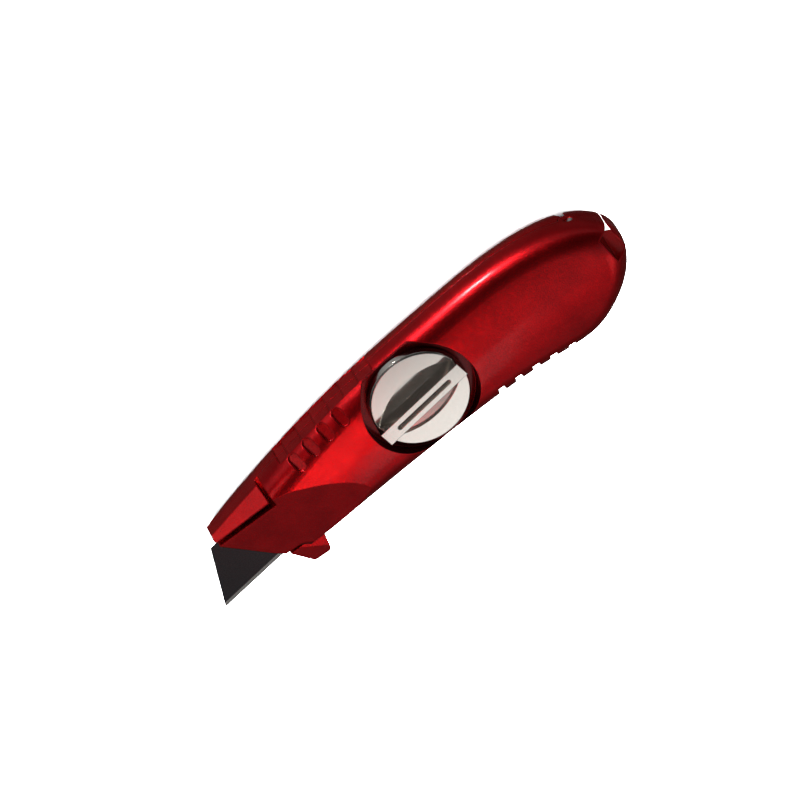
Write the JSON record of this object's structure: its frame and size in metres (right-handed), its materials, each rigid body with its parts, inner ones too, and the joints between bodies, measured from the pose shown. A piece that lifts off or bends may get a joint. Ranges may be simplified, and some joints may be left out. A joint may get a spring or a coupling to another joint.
{
  "type": "utility knife",
  "caption": "Fixed-blade utility knife: two lacquered cast halves hinged at the tail, closed by a dial screw, with a trapezoid blade and a spare blade bay.",
  "frame": {"origin": "on the dial's axis, in the plane of the flat on the base half that the knife rests on", "axes": "+X from the blade to the tail, +Y towards the spine, +Z out of the dial side"},
  "size_m": [0.1649, 0.0438, 0.0219],
  "materials": {
    "lacquer_base": "candy red lacquer under a clear coat, on die-cast aluminium",
    "lacquer_cover": "candy red lacquer under a clear coat, on die-cast aluminium",
    "bright_steel": "ground",
    "nickel_dial": "satin nickel plate",
    "zinc_steel": "zinc plated",
    "bronze": "turned",
    "spring_steel": "tempered",
    "brass": "turned",
    "blade_steel": "black oxide with a ground edge",
    "black_plastic": "moulded"
  },
  "bodies": {
    "base": {"base_shell": "lacquer_base", "threaded_insert": "brass", "blade": "blade_steel", "blade_pin_front": "bright_steel", "blade_pin_rear": "bright_steel", "locating_dowel_front": "bright_steel", "locating_dowel_rear": "bright_steel", "spare_blade_tray": "black_plastic", "spare_blade_leaf": "spring_steel", "spare_blade_1": "blade_steel", "spare_blade_2": "blade_steel", "spare_blade_3": "blade_steel"},
    "cover": {"cover_shell": "lacquer_cover", "hinge_pin": "bright_steel", "thrust_washer": "bronze", "wave_washer": "spring_steel"},
    "dial": {"dial_knob": "nickel_dial", "dial_screw": "zinc_steel", "retaining_clip": "spring_steel"}
  },
  "joints": [
    {"name": "cover_opening", "type": "hinge", "parent": "base", "child": "cover", "pos_m": [0.0679, 0, 0.0098], "axis": [0, 1, 0], "range_deg": [0, 25]},
    {"name": "dial_turning", "type": "hinge", "parent": "cover", "child": "dial", "pos_m": [0, 0, 0.0096], "axis": [0, 0, 1], "range_deg": [0, 720]}
  ]
}
